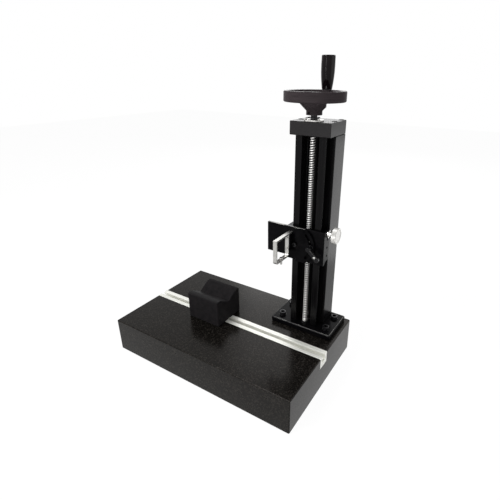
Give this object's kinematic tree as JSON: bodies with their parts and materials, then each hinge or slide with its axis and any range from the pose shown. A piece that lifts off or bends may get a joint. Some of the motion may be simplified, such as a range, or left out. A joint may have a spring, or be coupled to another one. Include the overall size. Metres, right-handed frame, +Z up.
{
  "type": "roughness tester stand",
  "caption": "Granite base with a T-slot rail and V-block, and a dovetail column whose handwheel and lead screw lift a tilting tester holder.",
  "frame": {"origin": "middle of the granite base's underside", "axes": "+Z up, X along the base with the column towards +X, Y across it with the column towards +Y"},
  "size_m": [0.4, 0.25, 0.556],
  "materials": {
    "granite": "polished, fine grain",
    "rail_aluminium": "milled",
    "black_anodised": "black anodised, satin",
    "black_oxide": "black oxide on ground steel",
    "screw_black": "black oxide",
    "ground_steel": "ground",
    "bright_nickel": "nickel plated",
    "black_phenolic": "moulded and polished",
    "bronze": "cast and bored",
    "brass": "drawn strip"
  },
  "bodies": {
    "root": {"granite_base": "granite", "t_slot_rail": "rail_aluminium", "granite_insert_1": "ground_steel", "granite_insert_2": "ground_steel", "granite_insert_3": "ground_steel", "granite_insert_4": "ground_steel", "foot_plate": "black_oxide", "foot_plate_screw_1": "screw_black", "foot_plate_screw_2": "screw_black", "foot_plate_screw_3": "screw_black", "foot_plate_screw_4": "screw_black", "column": "black_anodised", "column_screw_1": "ground_steel", "column_screw_2": "ground_steel", "column_screw_3": "ground_steel", "column_screw_4": "ground_steel", "top_block": "black_anodised", "top_block_screw_1": "screw_black", "top_block_screw_2": "screw_black", "top_block_screw_3": "screw_black", "top_block_screw_4": "screw_black", "bearing_outer_ring": "ground_steel", "bearing_cage": "brass", "bearing_cover": "bright_nickel", "cover_screw_1": "ground_steel", "cover_screw_2": "ground_steel", "cover_screw_3": "ground_steel", "lower_bush": "bright_nickel"},
    "screw": {"lead_screw": "ground_steel", "bearing_inner_ring": "ground_steel", "lock_collar": "screw_black", "handwheel": "black_phenolic", "hub_grub_screw": "screw_black", "wheel_end_screw": "screw_black", "handle_stud": "ground_steel"},
    "handle": {"handle_grip": "black_phenolic"},
    "carriage": {"carriage": "black_oxide", "gib_strip": "black_oxide", "gib_screw_1": "screw_black", "gib_screw_2": "screw_black", "gib_screw_3": "screw_black", "lead_nut": "bronze", "lead_nut_screw_1": "ground_steel", "lead_nut_screw_2": "ground_steel", "lock_bush": "bright_nickel", "pivot_screw": "screw_black", "clamp_stud": "ground_steel", "clamp_washer": "ground_steel"},
    "lock": {"lock_knob": "bright_nickel"},
    "lever": {"clamp_lever": "black_oxide"},
    "holder": {"holder_plate": "black_oxide", "clamp_frame": "bright_nickel", "frame_standoff": "black_oxide", "frame_screw_1": "bright_nickel", "frame_screw_2": "bright_nickel"},
    "pad": {"clamp_pad": "ground_steel"},
    "clamp_screw": {"clamp_screw": "screw_black"},
    "v_block": {"v_block": "black_oxide", "v_block_key": "ground_steel", "key_screw": "screw_black"}
  },
  "joints": [
    {"name": "screw_spin", "type": "hinge", "parent": "root", "child": "screw", "pos_m": [0.1285, 0.0615, 0.0813], "axis": [0, 0, -1], "range_deg": [-10810, 13510]},
    {"name": "carriage_slide", "type": "slide", "parent": "root", "child": "carriage", "axis": [0, 0, 1], "range_m": [-0.12, 0.15]},
    {"name": "handle_spin", "type": "hinge", "parent": "screw", "child": "handle", "pos_m": [0.1299, 0.10148, 0.5051], "axis": [0, 0, 1], "continuous": true},
    {"name": "holder_tilt", "type": "hinge", "parent": "carriage", "child": "holder", "pos_m": [0.1104, 0.0432, 0.248], "axis": [0, -1, 0], "range_deg": [-45, 45]},
    {"name": "clamp_lever_turn", "type": "hinge", "parent": "carriage", "child": "lever", "pos_m": [0.1414, 0.0414, 0.248], "axis": [0, 1, 0], "range_deg": [-100, 40]},
    {"name": "lock_knob_turn", "type": "hinge", "parent": "carriage", "child": "lock", "pos_m": [0.1655, 0.061, 0.274], "axis": [1, 0, 0], "range_deg": [-360, 0]},
    {"name": "pad_slide", "type": "slide", "parent": "holder", "child": "pad", "axis": [0, 0, 1], "range_m": [0, 0.0075]},
    {"name": "clamp_screw_turn", "type": "hinge", "parent": "pad", "child": "clamp_screw", "pos_m": [0.1017, 0.011, 0.2275], "axis": [0, 0, 1], "range_deg": [-5, 3865]},
    {"name": "v_block_slide", "type": "slide", "parent": "root", "child": "v_block", "axis": [1, 0, 0], "range_m": [-0.114, 0.21]}
  ],
  "couplings": [
    {"joint": "screw_spin", "follows": "carriage_slide", "rad_per_m": 1570.8},
    {"joint": "clamp_screw_turn", "follows": "pad_slide", "rad_per_m": 8976}
  ]
}
